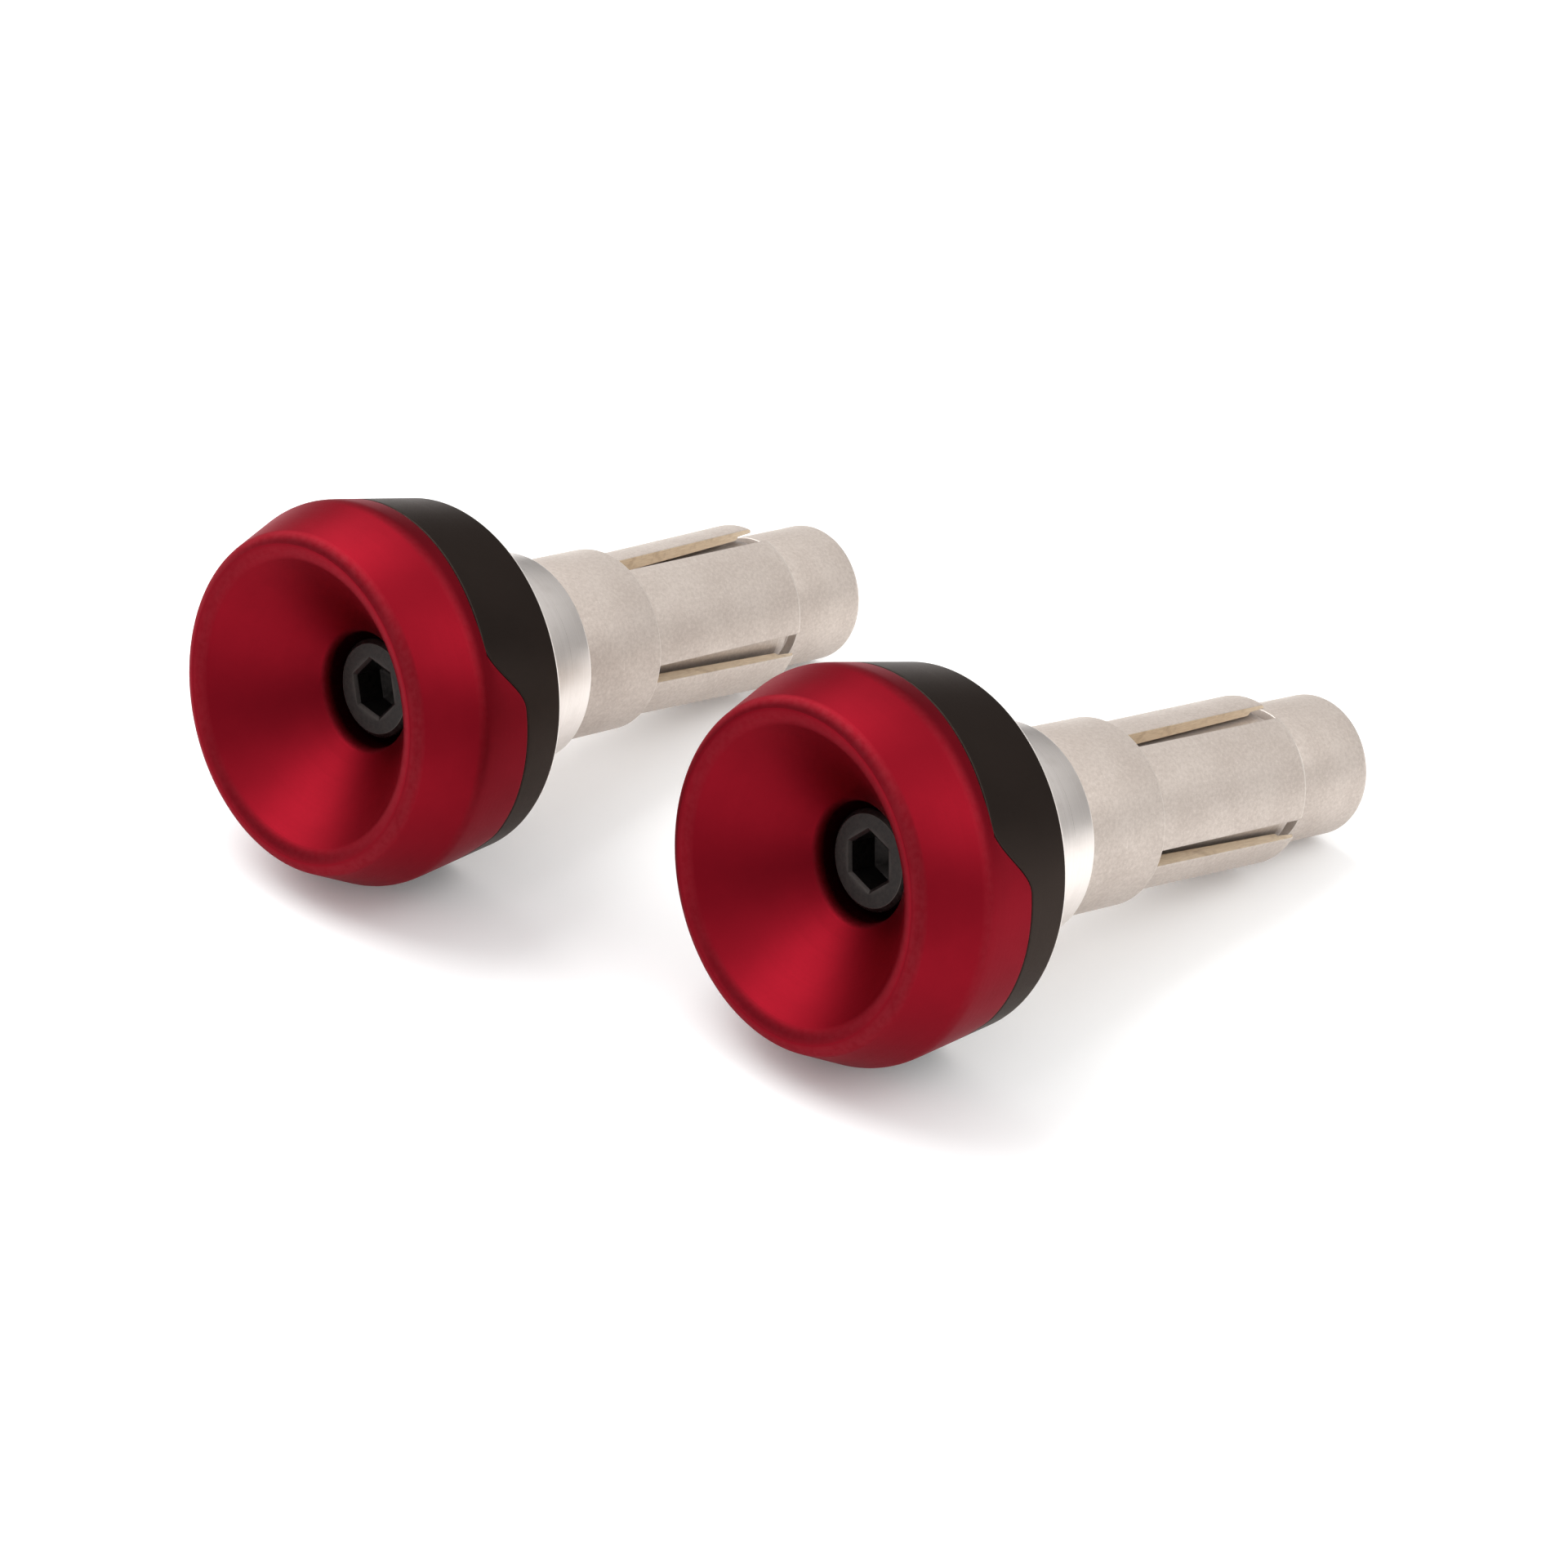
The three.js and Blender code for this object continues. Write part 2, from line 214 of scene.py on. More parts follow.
def skirt_radius(station):
    """Radius of the tapered skirt that cap and base ring share."""
    share = station / SKIRT["edge_station"]
    return SKIRT["rear_radius"] + (SKIRT["edge_radius"] - SKIRT["rear_radius"]) * share


def smooth_share(value, low, high):
    """From 0 to 1 as a value goes from low to high, flat at both ends."""
    share = min(max((value - low) / (high - low), 0.0), 1.0)
    return share * share * (3 - 2 * share)


def wave_station(angle):
    """Station of the wavy joint between cap and base ring, at an angle in degrees."""
    offset = (WAVE["tab_centre"] - angle + 90) % 180 - 90
    step = WAVE["near_step"] if offset > 0 else WAVE["far_step"]
    half = WAVE["half_step"]
    on_tab = 1 - smooth_share(abs(offset), step - half, step + half)
    tab = WAVE["tab_station"] - WAVE["lean"] * offset
    narrow = WAVE["narrow_station"] + WAVE["lean"] * (offset % 180 - 90)
    return narrow + (tab - narrow) * on_tab


def wave_edge(towards_tail, depth):
    """Rows of a rounded edge along the wavy joint, from the skirt inwards to the radius depth.

    towards_tail is 1 for the cap, whose edge faces the tail, and -1 for the base ring's.
    """
    rows = []
    join = JOIN if towards_tail < 0 else 0
    for k in range(WAVE_EDGE_STEPS + 1):
        turn = math.pi / 2 * k / WAVE_EDGE_STEPS

        def row(angle, turn=turn, worn_and_highlit=WAVE_EDGE_WEAR_AND_HIGHLIGHT * math.sin(2 * turn)):
            line = wave_station(angle) + join
            station = line - towards_tail * JOINT_EDGE * (1 - math.sin(turn))
            return skirt_radius(station) - JOINT_EDGE * (1 - math.cos(turn)), station, worn_and_highlit

        rows.append(row)

    def inner(angle):
        return depth, wave_station(angle) + join, 0.0

    return rows + [inner]


def skirt_rows(fixed_station, shares, towards_tail):
    """Rows down the tapered skirt between a plain station and the start of the wavy edge."""
    rows = []
    for share in shares:

        def row(angle, share=share):
            line = wave_station(angle) - towards_tail * JOINT_EDGE
            station = fixed_station + (line - fixed_station) * share
            return skirt_radius(station), station, 0.0

        rows.append(row)
    return rows


# ---- mesh building -------------------------------------------------------------------------------
def finished(name, mesh, place, materials, smooth_below=32):
    """A piece in the model's frame from a bmesh in mm, with faces outward and sharp edges sharp."""
    bmesh.ops.recalc_face_normals(mesh, faces=mesh.faces)
    own = mesh.verts.layers.float_vector.new(OWN)
    for vert in mesh.verts:
        vert[own] = vert.co
    for face in mesh.faces:
        face.smooth = True
    for edge in mesh.edges:
        if len(edge.link_faces) == 2 and edge.calc_face_angle(0) > math.radians(smooth_below):
            edge.smooth = False
    mesh.transform(place @ Matrix.Scale(MM, 4))
    data = bpy.data.meshes.new(name)
    mesh.to_mesh(data)
    mesh.free()
    for material in materials:
        data.materials.append(material)
    piece = bpy.data.objects.new(name, data)
    bpy.context.scene.collection.objects.link(piece)
    return piece


def turned(rows, steps, start=0.0, closed=True):
    """A bmesh turned about z. A row gives (radius, station, wear and painted highlight) for an angle in
    degrees.
    """
    mesh = bmesh.new()
    wear_and_highlight = mesh.verts.layers.float.new(WEAR_AND_HIGHLIGHT)
    uv = mesh.loops.layers.uv.new(ROUND)
    rings = []
    for row in rows:
        ring = []
        for k in range(steps):
            angle = start + 360 * k / steps
            radius, station, worn_and_highlit = row(angle)
            if radius == 0 and ring:
                ring.append(ring[0])
                continue
            spin = math.radians(angle)
            vert = mesh.verts.new((radius * math.cos(spin), radius * math.sin(spin), station))
            vert[wear_and_highlight] = worn_and_highlit
            ring.append(vert)
        rings.append(ring)
    count = len(rings)
    for i in range(count if closed else count - 1):
        front, rear = rings[i], rings[(i + 1) % count]
        for k in range(steps):
            after = (k + 1) % steps
            where = {}
            for vert, across, along in (
                (front[k], k, i),
                (front[after], k + 1, i),
                (rear[after], k + 1, i + 1),
                (rear[k], k, i + 1),
            ):
                where.setdefault(vert, (across / steps, along / count))
            if len(where) < 3:
                continue
            face = mesh.faces.new(list(where))
            for loop in face.loops:
                loop[uv].uv = where[loop.vert]
    return mesh


def sort_faces(mesh):
    """Puts the faces in the order of their corners, because a bevel's own order varies."""
    mesh.verts.index_update()
    in_order = sorted(mesh.faces, key=lambda face: sorted(vert.index for vert in face.verts))
    rank = {face: number for number, face in enumerate(in_order)}
    mesh.faces.sort(key=lambda face: rank[face])


def paint_faces(mesh, index, chosen):
    """Gives the faces whose middle passes the test another material."""
    for face in mesh.faces:
        middle = face.calc_center_median()
        if chosen(math.hypot(middle.x, middle.y), middle.z):
            face.material_index = index


# ---- materials -----------------------------------------------------------------------------------
class Nodes:
    """Small helper for a material's node tree."""

    def __init__(self, name):
        self.material = bpy.data.materials.new(name)
        self.material.use_nodes = True
        self.tree = self.material.node_tree
        self.shader = next(n for n in self.tree.nodes if n.type == "BSDF_PRINCIPLED")

    def add(self, kind, **settings):
        node = self.tree.nodes.new(kind)
        for key, value in settings.items():
            setattr(node, key, value)
        return node

    def link(self, source, target):
        self.tree.links.new(source, target)

    def feed(self, node, socket, value):
        if hasattr(value, "is_output"):
            self.link(value, node.inputs[socket])
        else:
            node.inputs[socket].default_value = value

    def math(self, operation, a, b=0.0, clamp=False):
        node = self.add("ShaderNodeMath", operation=operation, use_clamp=clamp)
        self.feed(node, 0, a)
        self.feed(node, 1, b)
        return node.outputs[0]

    def place(self):
        """The piece's own coordinates, in mm."""
        return self.add("ShaderNodeAttribute", attribute_name=OWN).outputs["Vector"]

    def turning(self):
        """Coordinates that are the same all round the axis: radius and station, in mm."""
        parts = self.add("ShaderNodeSeparateXYZ")
        self.link(self.place(), parts.inputs[0])
        up_square = self.math("POWER", parts.outputs[0], 2)
        near_square = self.math("POWER", parts.outputs[1], 2)
        together = self.add("ShaderNodeCombineXYZ")
        self.link(self.math("SQRT", self.math("ADD", up_square, near_square)), together.inputs[0])
        self.link(parts.outputs[2], together.inputs[1])
        return together.outputs[0]

    def noise(self, vector, scale, detail=2.0, roughness=0.5, distortion=0.0):
        node = self.add("ShaderNodeTexNoise")
        self.link(vector, node.inputs["Vector"])
        node.inputs["Scale"].default_value = scale
        node.inputs["Detail"].default_value = detail
        node.inputs["Roughness"].default_value = roughness
        node.inputs["Distortion"].default_value = distortion
        return node.outputs["Fac"]

    def stretch(self, vector, scales):
        node = self.add("ShaderNodeMapping")
        self.link(vector, node.inputs["Vector"])
        node.inputs["Scale"].default_value = scales
        return node.outputs[0]

    def span(self, value, low, high, out_low=0.0, out_high=1.0):
        node = self.add("ShaderNodeMapRange")
        self.feed(node, "Value", value)
        ends = {"From Min": low, "From Max": high, "To Min": out_low, "To Max": out_high}
        for socket, number in ends.items():
            node.inputs[socket].default_value = number
        return node.outputs[0]

    def mix(self, share, first, second):
        node = self.add("ShaderNodeMix", data_type="RGBA")
        self.feed(node, "Factor", share)
        self.feed(node, 6, first)
        self.feed(node, 7, second)
        return node.outputs[2]

    def wear_and_highlight(self):
        return self.add("ShaderNodeAttribute", attribute_name=WEAR_AND_HIGHLIGHT).outputs["Fac"]

    def bump(self, height, strength, distance):
        node = self.add("ShaderNodeBump")
        self.link(height, node.inputs["Height"])
        node.inputs["Strength"].default_value = strength
        node.inputs["Distance"].default_value = distance * MM
        self.link(node.outputs[0], self.shader.inputs["Normal"])

    def brushed(self, anisotropy):
        """Grooves that run round the axis."""
        self.shader.inputs["Anisotropic"].default_value = anisotropy
        tangent = self.add("ShaderNodeTangent", direction_type="UV_MAP", uv_map=ROUND)
        self.link(tangent.outputs[0], self.shader.inputs["Tangent"])

    def set(self, **values):
        for key, value in values.items():
            self.feed(self.shader, key.replace("_", " "), value)


def colour(red, green, blue):
    """A colour from its 0 to 255 values."""
    linear = [((c / 255 + 0.055) / 1.055) ** 2.4 if c > 10 else c / 3294 for c in (red, green, blue)]
    return (*linear, 1.0)


def anodised(name, body, worn_and_highlit, edge_tint, metallic, rough, anisotropy, line_strength):
    """Dyed, satin anodising over fine turning lines, a little paler and duller along the edges from wear
    and a painted edge highlight.
    """
    n = Nodes(name)
    round_axis = n.turning()
    lines = n.noise(round_axis, 9.0, detail=3.0, roughness=0.65)
    clouds = n.noise(n.place(), 0.16, detail=2.0)
    deeper = (*(c * 0.82 for c in body[:3]), 1.0)
    tint = n.mix(n.span(clouds, 0.35, 0.65, 0.0, 0.5), body, deeper)
    patches = n.span(n.noise(n.place(), 1.6, detail=3.0), 0.35, 0.6, 0.35, 0.9)
    edge = n.math("MULTIPLY", n.wear_and_highlight(), patches)
    n.set(Base_Color=n.mix(edge, tint, worn_and_highlit), Metallic=metallic)
    speckle = n.noise(n.place(), 6.0, detail=4.0, roughness=0.7)
    satin = n.span(speckle, 0.3, 0.7, rough - 0.03, rough + 0.03)
    satin = n.math("ADD", satin, n.span(lines, 0.3, 0.7, -0.03, 0.03))
    n.set(Roughness=n.math("ADD", satin, n.math("MULTIPLY", n.wear_and_highlight(), 0.7)), Specular_Tint=edge_tint)
    n.brushed(anisotropy)
    n.bump(lines, line_strength, 0.01)
    return n.material


def turned_bright(name):
    """Bare aluminium straight from the lathe."""
    n = Nodes(name)
    lines = n.noise(n.turning(), 13.0, detail=4.0, roughness=0.75)
    round_stains = n.noise(n.place(), 0.5, detail=3.0)
    tint = n.mix(n.span(lines, 0.3, 0.7), colour(224, 216, 210), colour(238, 231, 226))
    tint = n.mix(n.span(round_stains, 0.5, 0.75, 0.0, 0.35), tint, colour(206, 197, 190))
    n.set(Base_Color=tint, Metallic=1.0)
    n.set(Roughness=n.span(lines, 0.3, 0.7, 0.27, 0.37))
    n.brushed(0.7)
    n.bump(lines, 0.25, 0.012)
    return n.material


def tumbled(name, light, dark, rough):
    """Dull aluminium from a tumbling drum: mottled, pitted and lightly scratched."""
    n = Nodes(name)
    place = n.place()
    clouds = n.noise(place, 0.22, detail=2.0)
    blotches = n.noise(place, 2.6, detail=4.0, roughness=0.6)
    grain = n.noise(place, 7.0, detail=4.0, roughness=0.7)
    scratches = n.noise(n.stretch(place, (0.5, 0.8, 1.6)), 0.9, detail=2.0, roughness=0.5, distortion=0.8)
    hairline = n.span(n.math("ABSOLUTE", n.math("SUBTRACT", scratches, 0.5)), 0.0, 0.006, 1.0, 0.0)
    scratch = n.math("MULTIPLY", hairline, n.span(blotches, 0.5, 0.62))
    tone = n.math("ADD", n.math("MULTIPLY", blotches, 0.45), n.math("MULTIPLY", grain, 0.3))
    tone = n.math("ADD", tone, n.math("MULTIPLY", clouds, 0.25))
    tint = n.mix(n.span(tone, 0.4, 0.6), dark, light)
    tint = n.mix(n.math("MULTIPLY", scratch, 0.3), tint, colour(240, 235, 230))
    # Paler along the edges, from wear and a painted edge highlight.
    n.set(Base_Color=n.mix(n.math("MULTIPLY", n.wear_and_highlight(), 0.5), tint, colour(238, 232, 226)), Metallic=0.65)
    n.set(Roughness=n.span(tone, 0.38, 0.62, rough + 0.05, rough - 0.05))
    n.bump(n.math("ADD", grain, n.math("MULTIPLY", blotches, 0.4)), 0.22, 0.015)
    return n.material


def sawn(name):
    """Slot walls as the saw left them: fine marks along the slot, a warm tan colour with browner patches.
    """
    n = Nodes(name)
    place = n.place()
    marks = n.noise(n.stretch(place, (5.0, 5.0, 0.5)), 1.6, detail=4.0, roughness=0.7)
    stains = n.noise(place, 0.7, detail=3.0)
    tint = n.mix(n.span(marks, 0.3, 0.7), colour(214, 194, 168), colour(242, 226, 202))
    n.set(Base_Color=n.mix(n.span(stains, 0.52, 0.72, 0.0, 0.5), tint, colour(160, 134, 106)), Metallic=0.3)
    n.set(Roughness=n.span(marks, 0.3, 0.7, 0.42, 0.58))
    n.bump(marks, 0.4, 0.03)
    return n.material


def black_oxide(name):
    """Blackened steel with a faint sheen and slightly rubbed edges, paler there also as a painted edge
    highlight.
    """
    n = Nodes(name)
    place = n.place()
    mottle = n.noise(place, 2.2, detail=4.0, roughness=0.65)
    tint = n.mix(n.span(mottle, 0.35, 0.65), colour(34, 31, 30), colour(50, 46, 44))
    n.set(Base_Color=n.mix(n.math("MULTIPLY", n.wear_and_highlight(), 0.5), tint, colour(96, 90, 86)), Metallic=0.8)
    n.set(Roughness=n.span(mottle, 0.3, 0.7, 0.36, 0.5))
    n.bump(mottle, 0.25, 0.02)
    return n.material


def make_materials():
    """Every finish by its short name."""
    red = anodised(
        "red_anodised",
        body=colour(126, 17, 30),
        # pinkish edge colour: wear, and the painted highlight along the lip's crest
        worn_and_highlit=colour(156, 62, 70),
        edge_tint=colour(243, 205, 209),
        metallic=1.0,
        rough=0.45,
        anisotropy=0.5,
        line_strength=0.1,
    )
    black = anodised(
        "black_anodised",
        body=colour(46, 38, 34),
        worn_and_highlit=colour(84, 76, 71),
        edge_tint=colour(212, 207, 204),
        metallic=0.9,
        rough=0.42,
        anisotropy=0.35,
        line_strength=0.08,
    )
    return {
        "red": red,
        "black": black,
        "bright_edge": turned_bright("bright_cut_edge"),
        "turned": turned_bright("turned_aluminium"),
        "tumbled": tumbled("tumbled_aluminium", colour(202, 191, 182), colour(185, 173, 164), rough=0.52),
        "sawn": sawn("sawn_slot_wall"),
        "oxide": black_oxide("black_oxide_steel"),
    }


# ---- pieces of one bar end -----------------------------------------------------------------------
def cap_mesh(lip_front):
    """The cap: hub, counterbore, dish, lip, flank, skirt and wavy rear edge."""
    dish_lip_radius = DISH["radius"] + (DISH["station"] - lip_front) * DISH["widening"]
    edge = SKIRT["edge_station"]
    corner_radius, corner_station = SKIRT["edge_radius"] + EDGE["out"], edge - EDGE["forward"]
    flank_front = corner_radius - FLANK_SLOPE * (corner_station - lip_front)
    skirt_front = edge + EDGE["rear"]
    front = rounded(
        [
            (CAP_HUB["radius"], CAP_CORE["rear"], 0),
            (CAP_HUB["radius"], CAP_HUB["rear"], 0),
            (CLEARANCE_HOLE, CAP_HUB["rear"], 0),
            (CLEARANCE_HOLE, COUNTERBORE["floor"], 0.2),
            (COUNTERBORE["radius"], COUNTERBORE["floor"], 0.3),
            (COUNTERBORE["radius"], COUNTERBORE["mouth"], COUNTERBORE["mouth_fillet"]),
            (dish_lip_radius, lip_front, LIP_FILLET["dish"]),
            (flank_front, lip_front, LIP_FILLET["flank"]),
            (corner_radius, corner_station, EDGE["fillet"]),
            (skirt_radius(skirt_front), skirt_front, 0),
        ]
    )
    rows = fixed(front)
    rows += skirt_rows(skirt_front, SKIRT_SHARES, 1)
    rows += wave_edge(1, CAP_CORE["radius"])
    rows += fixed([(CAP_CORE["radius"], CAP_CORE["rear"], 0.0)])
    return turned(rows, HEAD_STEPS)


def base_ring_mesh(boss_rear, spigot_front):
    """The base ring: wavy front edge, skirt, rear face, boss for the collar, and web."""
    wall = CAP_CORE["radius"] + JOIN
    rows = list(reversed(wave_edge(-1, wall)))
    rows += skirt_rows(RING_PLAIN, reversed(SKIRT_SHARES), -1)
    rows += fixed(
        rounded(
            [
                (skirt_radius(RING_PLAIN), RING_PLAIN, 0),
                (SKIRT["rear_radius"], 0.0, RING_REAR_FILLET),
                (BOSS_RADIUS, 0.0, 0),
                (BOSS_RADIUS, boss_rear, 0),
                (SPIGOT_RADIUS + JOIN, boss_rear, 0),
                (SPIGOT_RADIUS + JOIN, spigot_front - JOIN, 0),
                (CLEARANCE_HOLE, spigot_front - JOIN, 0),
                (CLEARANCE_HOLE, CAP_HUB["rear"] + JOIN, 0),
                (CAP_HUB["radius"] + JOIN, CAP_HUB["rear"] + JOIN, 0),
                (CAP_HUB["radius"] + JOIN, WEB_FRONT, 0),
                (wall, WEB_FRONT, 0),
            ]
        )
    )
    return turned(rows, HEAD_STEPS)


def collar_mesh(size):
    """The turned collar on the base ring's boss."""
    inner = BOSS_RADIUS + JOIN
    return turned(
        fixed(
            rounded(
                [
                    (inner, JOIN, 0),
                    (size["radius"], JOIN, 0.05),
                    (size["radius"], size["rear"], 0.22),
                    (inner, size["rear"], 0),
                ],
                closed=True,
            )
        ),
        TUBE_STEPS,
    )


def sleeve_mesh(size, collar_rear):
    """The sleeve's unslotted front: spigot, shoulder and bore."""
    front = collar_rear + JOIN
    bore = SLEEVE_BORE
    return turned(
        fixed(
            rounded(
                [
                    (SPIGOT_RADIUS, size["front"], 0.2),
                    (SPIGOT_RADIUS, front, 0),
                    (size["radius"], front, 0.15),
                    (size["radius"], size["rear"], 0.24),
                    (bore["radius"], size["rear"], 0),
                    (bore["radius"], bore["front"], 0.3),
                    (CLEARANCE_HOLE, bore["front"], 0.2),
                    (CLEARANCE_HOLE, size["front"], 0),
                ],
                closed=True,
            )
        ),
        TUBE_STEPS,
    )


def finger_mesh(size, root):
    """One finger standing straight, its middle along +x, as a grid of outer and inner skins."""
    # The tip's outer rounding is paler from wear and a painted edge highlight.
    outer = rounded(
        [
            (size["outer"], root, 0),
            (size["outer"], size["tip"], 0.5),
            (FINGER_MOUTH["radius"] + FINGER_MOUTH["land"], size["tip"], 0),
        ]
    )
    inner = rounded(
        [
            (SLEEVE_BORE["radius"], root, 0),
            (FINGER_MOUTH["inner"], FINGER_MOUTH["station"], 0.06),
            (FINGER_MOUTH["radius"], FINGER_MOUTH["station"] + FINGER_MOUTH["step"], 0.06),
            (FINGER_MOUTH["radius"], size["tip"], 0),
        ]
    )
    mesh = bmesh.new()
    wear_and_highlight = mesh.verts.layers.float.new(WEAR_AND_HIGHLIGHT)

    def skin(profile):
        grid = []
        for radius, station, worn_and_highlit in profile:
            half = math.pi / 4 - math.asin(SLOT_WIDTH / 2 / radius)
            line = []
            for k in range(FINGER_COLUMNS + 1):
                angle = half * (2 * k / FINGER_COLUMNS - 1)
                vert = mesh.verts.new((radius * math.cos(angle), radius * math.sin(angle), station))
                vert[wear_and_highlight] = worn_and_highlit
                line.append(vert)
            grid.append(line)
        return grid

    rings = skin(outer) + list(reversed(skin(inner)))
    count = len(rings)
    for i in range(count):
        a, b = rings[i], rings[(i + 1) % count]
        for k in range(FINGER_COLUMNS):
            mesh.faces.new((a[k], a[k + 1], b[k + 1], b[k]))
    walls = [mesh.faces.new([ring[0] for ring in rings]), mesh.faces.new([ring[-1] for ring in rings])]
    for wall in walls:
        wall.material_index = 1
    long_edges = [e for wall in walls for e in wall.edges]
    bmesh.ops.bevel(
        mesh,
        geom=long_edges,
        offset=FINGER_WALL_BEVEL,
        offset_type="OFFSET",
        segments=2,
        profile=0.5,
        affect="EDGES",
        material=0,
    )
    bmesh.ops.triangulate(mesh, faces=[f for f in mesh.faces if len(f.verts) > 4])
    sort_faces(mesh)
    return mesh


def thread_rows(outer, inner, front, rear):
    """Rows of a helical thread between two radii and two stations, with flats on crest and root."""
    rows = []
    pitch = THREAD["pitch"]
    count = round((rear - front) / pitch * THREAD_STEPS)
    for i in range(count + 1):
        station = front + (rear - front) * i / count

        def row(angle, station=station):
            phase = (station / pitch - angle / 360) % 1
            height = 1 - abs(2 * phase - 1)
            height = min(max((height - THREAD_FLAT) / (1 - 2 * THREAD_FLAT), 0), 1)
            return outer + (inner - outer) * (1 - height), station, 0.0

        rows.append(row)
    return rows


def nut_mesh(size):
    """The wedge nut: cone, groove, tail and threaded bore."""
    bore_outer = THREAD["major"] + NUT_THREAD_PLAY["outer"]
    bore_inner = THREAD["major"] + NUT_THREAD_PLAY["inner"]
    rows = fixed(
        rounded(
            [
                (bore_outer, size["front"], 0),
                (NUT_CONE["nose_radius"], size["front"], 0.25),
                (NUT_CONE["radius"], NUT_CONE["rear"], 1.0),
                (size["radius"], NUT_CONE["seat"], 0.8),
                (size["radius"], NUT_GROOVE["front"], 0.08),
                (NUT_GROOVE["radius"], NUT_GROOVE["front"] + NUT_GROOVE["edge"], 0.1),
                (NUT_GROOVE["radius"], NUT_GROOVE["rear"] - NUT_GROOVE["edge"], 0.1),
                (size["radius"], NUT_GROOVE["rear"], 0.12),
                (size["radius"], size["rear"], NUT_REAR_EDGE),
                (bore_outer + NUT_MOUTH["chamfer"], size["rear"], 0.1),
                (bore_outer, size["rear"] - NUT_MOUTH["depth"], 0),
            ]
        )
    )
    thread_rear = size["rear"] - THREAD_SHORT["nut"]
    rows += list(reversed(thread_rows(bore_outer, bore_inner, NUT_CONE["rear"], thread_rear)))
    rows += fixed([(bore_outer, NUT_CONE["rear"] - THREAD["run_out"], 0.0)])
    return turned(rows, TUBE_STEPS)


def screw_mesh(size, hex_angle):
    """The socket screw: hex socket with a bevelled mouth, head, plain shank and thread."""
    half_flats = HEX_SOCKET["across_flats"] / 2
    bevel = HEX_SOCKET["bevel"]
    face = size["front"]
    bottom = face + HEX_SOCKET["depth"]

    def hex_row(station, inset, worn_and_highlit=0.0):
        def row(angle):
            off_flat = math.radians((angle - hex_angle) % 60 - 30)
            return (half_flats - inset) / math.cos(off_flat), station, worn_and_highlit

        return row

    rows = fixed([(0.0, bottom + HEX_FLOOR["drill_tip"], 0.0)])
    rows += [hex_row(bottom, HEX_FLOOR["inset"]), hex_row(bottom - HEX_FLOOR["rise"], 0.0)]
    rows += [hex_row(face + bevel, 0.0), hex_row(face + HEX_MOUTH["drop"], -bevel, 0.4)]
    mouth = (half_flats + bevel) / math.cos(math.radians(30)) + HEX_MOUTH["margin"]
    rows += fixed(
        rounded(
            [
                (mouth, face, 0),
                (mouth + HEX_MOUTH["land"], face, 0),
                (size["radius"] - HEAD_CHAMFER, face, 0.12),
                (size["radius"], face + HEAD_CHAMFER, 0.12),
                (size["radius"], size["under_head"], 0.15),
                (THREAD["major"], size["under_head"], 0),
                (THREAD["major"], THREAD["front"] - THREAD["run_out"], 0),
            ]
        )
    )
    thread_rear = size["rear"] - THREAD_SHORT["screw"]
    rows += thread_rows(THREAD["major"], THREAD["minor"], THREAD["front"], thread_rear)
    rows += fixed([(SCREW_TIP_RADIUS, size["rear"], 0.3), (0.0, size["rear"], 0.0)])
    return turned(rows, SCREW_STEPS, start=hex_angle, closed=False)


def build_bar_end(side, materials):
    """All ten pieces of a bar end, each standing for its CAD node."""
    place = axis_of(side)

    def put(part, mesh, where, body, slot, *finishes):
        piece = finished(f"{side}_{part}_detail", mesh, where, [materials[f] for f in finishes])
        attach(piece, body)
        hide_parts(f"{side}_{part}")
        return piece

    head = reach(f"{side}_cap", place)
    ring = reach(f"{side}_base_ring", place)
    collar = reach(f"{side}_collar", place)
    sleeve = reach(f"{side}_sleeve", place)
    nut = reach(f"{side}_wedge_nut", place)
    screw = reach(f"{side}_clamp_screw", place)
    head["front"] += INSIDE
    nut["radius"] -= INSIDE
    nut["rear"] -= INSIDE
    screw["under_head"] = UNDER_HEAD

    def on_cut_edge(radius, station):
        in_band = BRIGHT_EDGE["front"] < station < BRIGHT_EDGE["rear"]
        return in_band and radius > BRIGHT_EDGE["inner_radius"]

    put("cap", cap_mesh(head["front"]), place, "root", "red_anodised", "red")
    ring_mesh = base_ring_mesh(ring["rear"], sleeve["front"])
    paint_faces(ring_mesh, 1, on_cut_edge)
    put("base_ring", ring_mesh, place, "root", "black_anodised", "black", "bright_edge")
    put("collar", collar_mesh(collar), place, "root", "turned_aluminium", "turned")
    put("sleeve", sleeve_mesh(sleeve, collar["rear"]), place, "root", "tumbled_aluminium", "tumbled")
    for k in range(1, 5):
        node = f"{side}_finger_{k}"
        where, size = finger_place(node, f"{side}_finger_{k}_flex", place)
        straight = {"outer": size["radius"], "tip": size["rear"]}
        mesh = finger_mesh(straight, sleeve["rear"] + JOIN)
        put(f"finger_{k}", mesh, where, f"{side}_finger_{k}", "tumbled_aluminium", "tumbled", "sawn")
    put("wedge_nut", nut_mesh(nut), place, f"{side}_nut", "tumbled_aluminium", "tumbled")
    mesh = screw_mesh(screw, HEX_ANGLE[side])
    put("clamp_screw", mesh, place, f"{side}_screw", "black_oxide_steel", "oxide")


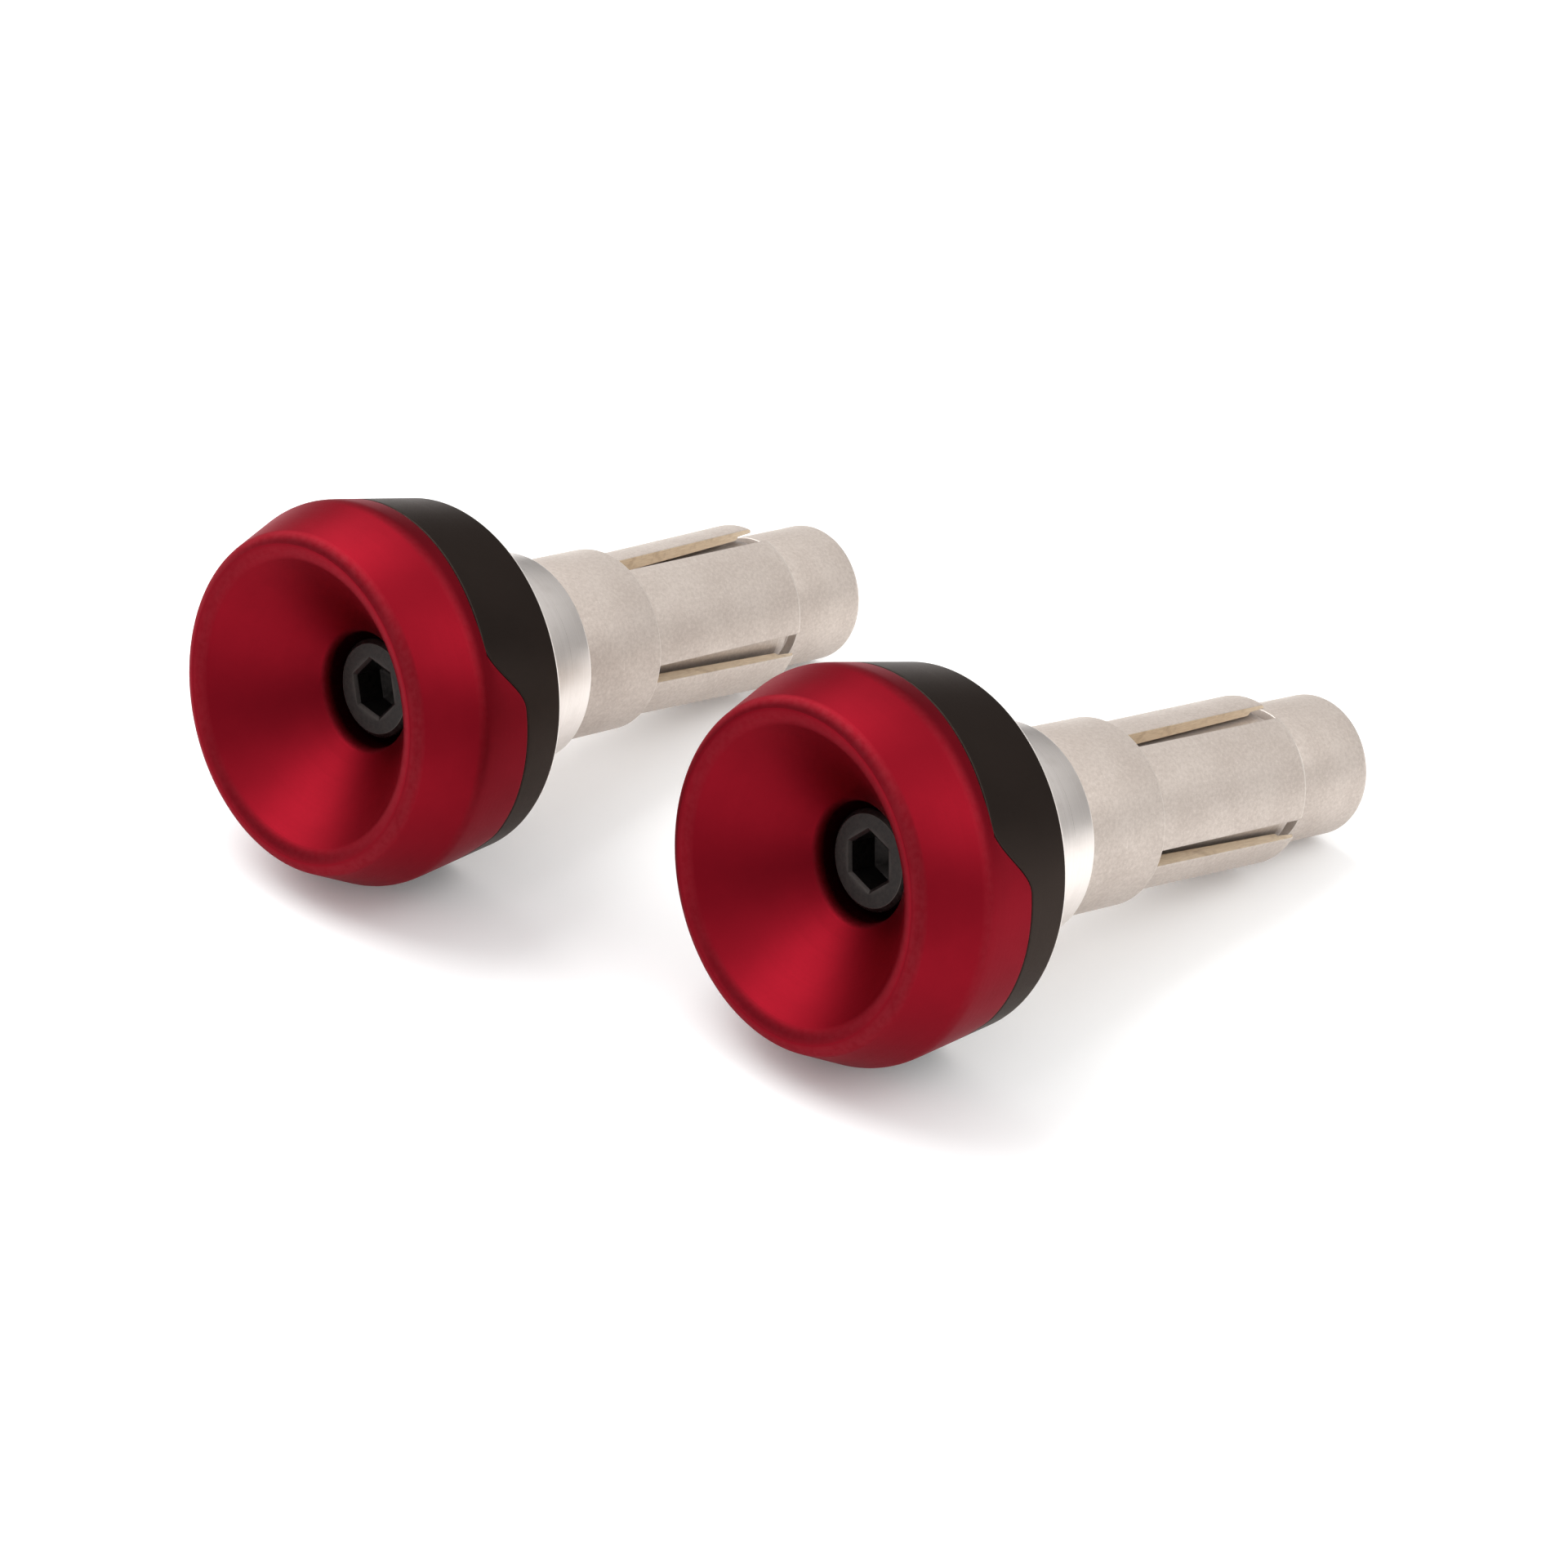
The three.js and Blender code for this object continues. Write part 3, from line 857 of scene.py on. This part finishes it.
# ---- floor, light and camera ---------------------------------------------------------------------
def add_floor():
    """A plain, pale floor that the bar ends lie on."""
    mesh = bmesh.new()
    bmesh.ops.create_grid(mesh, x_segments=4, y_segments=4, size=FLOOR_HALF)
    data = bpy.data.meshes.new("floor")
    mesh.to_mesh(data)
    mesh.free()
    n = Nodes("pale_floor")
    grain = n.noise(n.add("ShaderNodeTexCoord").outputs["Object"], 12.0, detail=2.0)
    n.set(Base_Color=n.mix(grain, (0.92, 0.92, 0.92, 1), (0.94, 0.94, 0.94, 1)), Roughness=0.95)
    n.set(Specular_IOR_Level=0.1, Emission_Color=(1.0, 1.0, 1.0, 1), Emission_Strength=0.12)
    data.materials.append(n.material)
    plane = bpy.data.objects.new("floor", data)
    bpy.context.scene.collection.objects.link(plane)


def add_sky():
    """A plain sky, dim near the horizon and bright overhead."""
    world = bpy.data.worlds.new("studio")
    world.use_nodes = True
    bpy.context.scene.world = world
    tree = world.node_tree
    background = next(n for n in tree.nodes if n.type == "BACKGROUND")
    ramp = tree.nodes.new("ShaderNodeValToRGB")
    coords = tree.nodes.new("ShaderNodeTexCoord")
    split = tree.nodes.new("ShaderNodeSeparateXYZ")
    tree.links.new(coords.outputs["Generated"], split.inputs[0])
    tree.links.new(split.outputs[2], ramp.inputs[0])
    stops = ramp.color_ramp.elements
    stops[0].position, stops[0].color = 0.04, (0.11, 0.11, 0.11, 1)
    stops[1].position, stops[1].color = 0.75, (1.15, 1.15, 1.15, 1)
    middle = stops.new(0.32)
    middle.color = (0.5, 0.5, 0.5, 1)
    tree.links.new(ramp.outputs[0], background.inputs[0])
    background.inputs[1].default_value = 0.9


def add_softbox(name, direction, distance, size, power):
    """A square area light that faces the origin from a direction."""
    light = bpy.data.lights.new(name, "AREA")
    light.shape = "SQUARE"
    light.size = size
    light.energy = power
    lamp = bpy.data.objects.new(name, light)
    away = Vector(direction).normalized()
    facing = away.to_track_quat("Z", "Y").to_matrix().to_4x4()
    lamp.matrix_world = Matrix.Translation(away * distance) @ facing
    bpy.context.scene.collection.objects.link(lamp)


def add_camera():
    """A view from the near right, well above, with a slight roll."""
    azimuth, elevation, roll = math.radians(42.53), math.radians(32.11), math.radians(3.93)
    distance = 0.4716
    aim_from_middle = Vector((0.0030, -0.0048, -0.0088))
    back = Vector(
        (
            math.sin(azimuth) * math.cos(elevation),
            -math.cos(azimuth) * math.cos(elevation),
            math.sin(elevation),
        )
    )
    aim = (CAD_BOX[0] + CAD_BOX[1]) / 2 + aim_from_middle
    data = bpy.data.cameras.new("camera")
    data.lens = 107.5
    data.sensor_width = 36.0
    data.clip_start = 0.01
    eye = bpy.data.objects.new("camera", data)
    facing = back.to_track_quat("Z", "Y").to_matrix().to_4x4()
    eye.matrix_world = Matrix.Translation(aim + back * distance) @ facing @ Matrix.Rotation(roll, 4, "Z")
    bpy.context.scene.collection.objects.link(eye)
    bpy.context.scene.camera = eye


finishes = make_materials()
for bar_end in ("left", "right"):
    build_bar_end(bar_end, finishes)
add_floor()
add_sky()
add_softbox("key", direction=(-0.62, -0.1, 0.85), distance=0.9, size=0.9, power=8.0)
add_softbox("fill", direction=(0.75, 0.35, 0.75), distance=1.1, size=0.8, power=4.0)
add_camera()
bpy.context.scene.view_settings.view_transform = "Standard"
